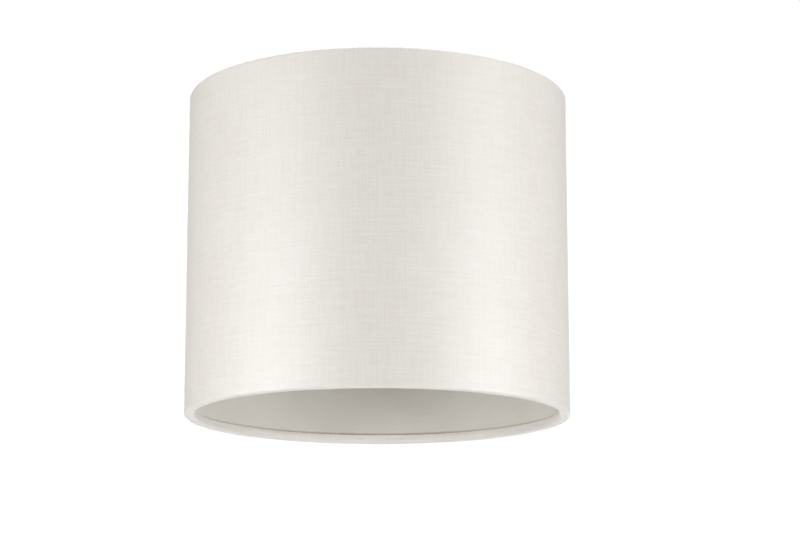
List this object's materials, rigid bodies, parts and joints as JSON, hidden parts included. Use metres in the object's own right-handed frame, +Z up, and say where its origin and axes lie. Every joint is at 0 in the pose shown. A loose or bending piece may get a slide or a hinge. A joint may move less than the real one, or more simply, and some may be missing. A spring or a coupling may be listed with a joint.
{
  "type": "lamp shade",
  "caption": "Cylindrical drum lamp shade with rolled cloth edges over wire rings, a lined wall and a recessed spider fitter with a loose reducer ring.",
  "frame": {"origin": "centre of the shade's bottom edge, on the surface that it stands on", "axes": "+Z up along the shade's own axis, towards the fitter; +Y to the back, where one strut points; +X to the right seen from the front. The vertical seam is on the +X side, 15 degrees towards the back"},
  "size_m": [0.2, 0.2, 0.17],
  "materials": {
    "cloth": "off-white fine plain weave with slubs, soft matt sheen",
    "lining_sheet": "satin off-white sheet",
    "adhesive_tape": "translucent tape",
    "enamelled_wire": "white powder coat",
    "reducer_plastic": "moulded satin white"
  },
  "bodies": {
    "shade": {"fabric_cover": "cloth", "lining": "lining_sheet", "seam_tape": "adhesive_tape", "top_ring": "enamelled_wire", "bottom_ring": "enamelled_wire", "top_ring_tape": "adhesive_tape", "bottom_ring_tape": "adhesive_tape", "strut_1": "enamelled_wire", "strut_2": "enamelled_wire", "strut_3": "enamelled_wire", "fitter_ring": "enamelled_wire"},
    "reducer": {"reducer_ring": "reducer_plastic"}
  },
  "joints": [
    {"name": "reducer_lift", "type": "slide", "parent": "shade", "child": "reducer", "axis": [0, 0, 1], "range_m": [0, 0.03]}
  ]
}
